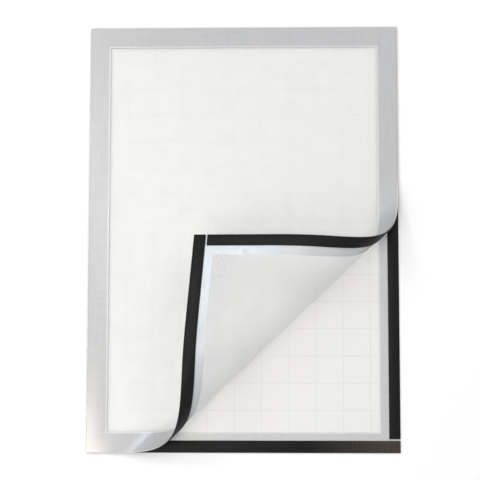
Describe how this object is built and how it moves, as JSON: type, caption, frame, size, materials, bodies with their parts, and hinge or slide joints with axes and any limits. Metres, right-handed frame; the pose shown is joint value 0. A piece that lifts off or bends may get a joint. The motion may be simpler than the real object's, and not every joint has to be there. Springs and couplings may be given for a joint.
{
  "type": "magnetic document pocket",
  "caption": "Flat self-adhesive display pocket with a silver border and clear window, lying on its back, its magnet-edged front sheet rolled back at one corner.",
  "frame": {"origin": "centre of the pocket on the outer face of its release liner", "axes": "+X to the right of the front, +Y towards the top edge, +Z out of the front face"},
  "size_m": [0.2301, 0.3171, 0.0495],
  "materials": {
    "liner": "white release paper with a faint ruled grid",
    "clear_film": "clear flexible film",
    "silver_border": "satin metallic silver on film",
    "magnet_strip": "satin black flexible magnet"
  },
  "bodies": {
    "root": {"release_liner": "liner", "back_sheet": "clear_film", "back_border": "silver_border", "back_magnet_top": "magnet_strip", "back_magnet_bottom": "magnet_strip", "back_magnet_left": "magnet_strip", "back_magnet_right": "magnet_strip", "front_magnet_top": "magnet_strip", "front_magnet_bottom": "magnet_strip", "front_magnet_left": "magnet_strip", "front_magnet_right": "magnet_strip", "front_window": "clear_film", "front_border": "silver_border", "hinge_film": "clear_film"}
  },
  "joints": []
}
